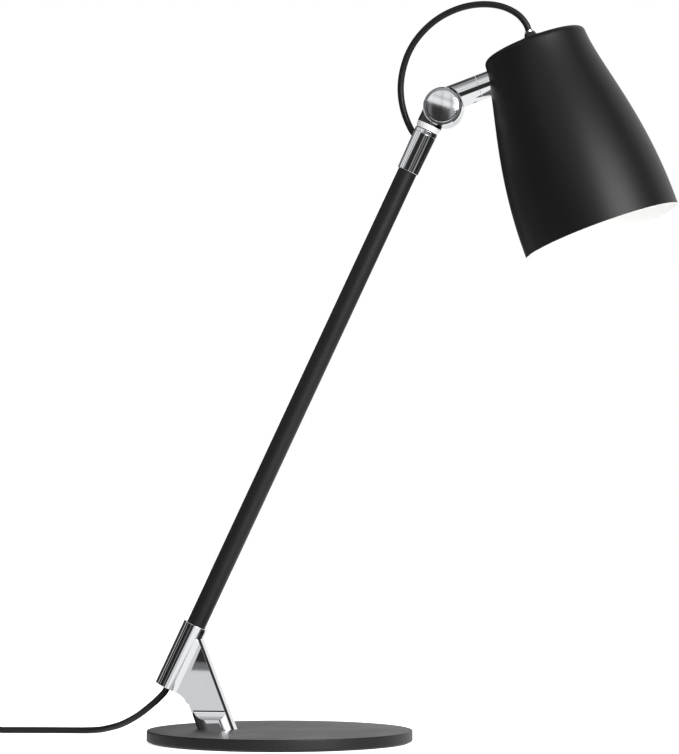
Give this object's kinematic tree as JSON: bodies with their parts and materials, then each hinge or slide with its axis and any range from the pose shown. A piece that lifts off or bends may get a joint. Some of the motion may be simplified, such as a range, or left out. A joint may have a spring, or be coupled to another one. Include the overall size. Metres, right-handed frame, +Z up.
{
  "type": "desk lamp",
  "caption": "Desk lamp with a leaning tube arm on a round base, a polished bracket and knuckle, and a matt bell shade that tilts and swivels.",
  "frame": {"origin": "middle of the base's underside, on the table", "axes": "+Z up, +X the way the arm leans, +Y away from the viewer"},
  "size_m": [0.7313, 0.22, 0.6127],
  "materials": {
    "base_black": "matt powder coat",
    "pad": "matt",
    "hardware": "plain steel",
    "dark_steel": "blackened",
    "polished": "mirror polish",
    "tube_black": "matt powder coat",
    "shade_black": "satin matt black outside, white inside",
    "black_plastic": "matt moulded",
    "cord_black": "matt black sheath",
    "fibre": "pressed fibre",
    "brass": "plain",
    "bulb_metal": "plain",
    "bulb_white": "smooth",
    "bulb_opal": "opal",
    "pin_metal": "nickel plated"
  },
  "bodies": {
    "stand": {"base_plate": "base_black", "base_pad": "pad", "bracket_screws": "hardware", "foot_bracket": "polished", "collar_grub_screw": "dark_steel", "cord_bush": "cord_black", "arm_tube": "tube_black", "arm_sleeve": "polished", "sleeve_grommet": "cord_black", "sleeve_ring": "polished", "neck_washer": "black_plastic", "knuckle_lower": "polished", "pivot_bolt": "hardware", "friction_washer": "fibre", "spring_washer": "hardware", "pivot_nut": "hardware", "front_cap": "polished", "inner_cord": "cord_black", "head_cord": "cord_black", "mains_cord": "cord_black", "link_cord": "cord_black", "cord_coil": "cord_black", "tail_cord": "cord_black", "coil_tie": "black_plastic", "switch_bottom": "black_plastic", "switch_top": "black_plastic", "switch_screws": "hardware", "switch_reliefs": "cord_black", "plug_relief": "cord_black", "plug_body": "black_plastic", "plug_pins": "pin_metal"},
    "knuckle": {"knuckle_upper": "polished", "swivel_keeper": "dark_steel", "rear_cap": "polished"},
    "head": {"swivel_spindle": "hardware", "stem_collar": "polished", "saddle_plate": "hardware", "stem_nut": "hardware", "shade_shell": "shade_black", "top_cap": "shade_black", "holder_nipple": "brass", "cord_gland": "black_plastic", "gland_ring": "polished", "holder_lead": "cord_black", "lampholder_body": "black_plastic", "lampholder_ring": "black_plastic", "lampholder_shell": "brass", "lampholder_contact": "brass", "bulb_cap": "bulb_metal", "bulb_body": "bulb_white", "bulb_globe": "bulb_opal"},
    "rocker": {"switch_rocker": "black_plastic"}
  },
  "joints": [
    {"name": "head_tilt", "type": "hinge", "parent": "stand", "child": "knuckle", "pos_m": [0.13764, 0, 0.5243], "axis": [0, 1, 0], "range_deg": [-70, 40], "deforming": ["head_cord"]},
    {"name": "head_swivel", "type": "hinge", "parent": "knuckle", "child": "head", "pos_m": [0.16716, 0, 0.54065], "axis": [0.9415, 0, 0.3371], "range_deg": [-90, 90], "deforming": ["head_cord"]},
    {"name": "switch_rocker", "type": "hinge", "parent": "stand", "child": "rocker", "pos_m": [-0.319, 0.0545, 0.0105], "axis": [0, 1, 0], "range_deg": [-16, 0]}
  ]
}
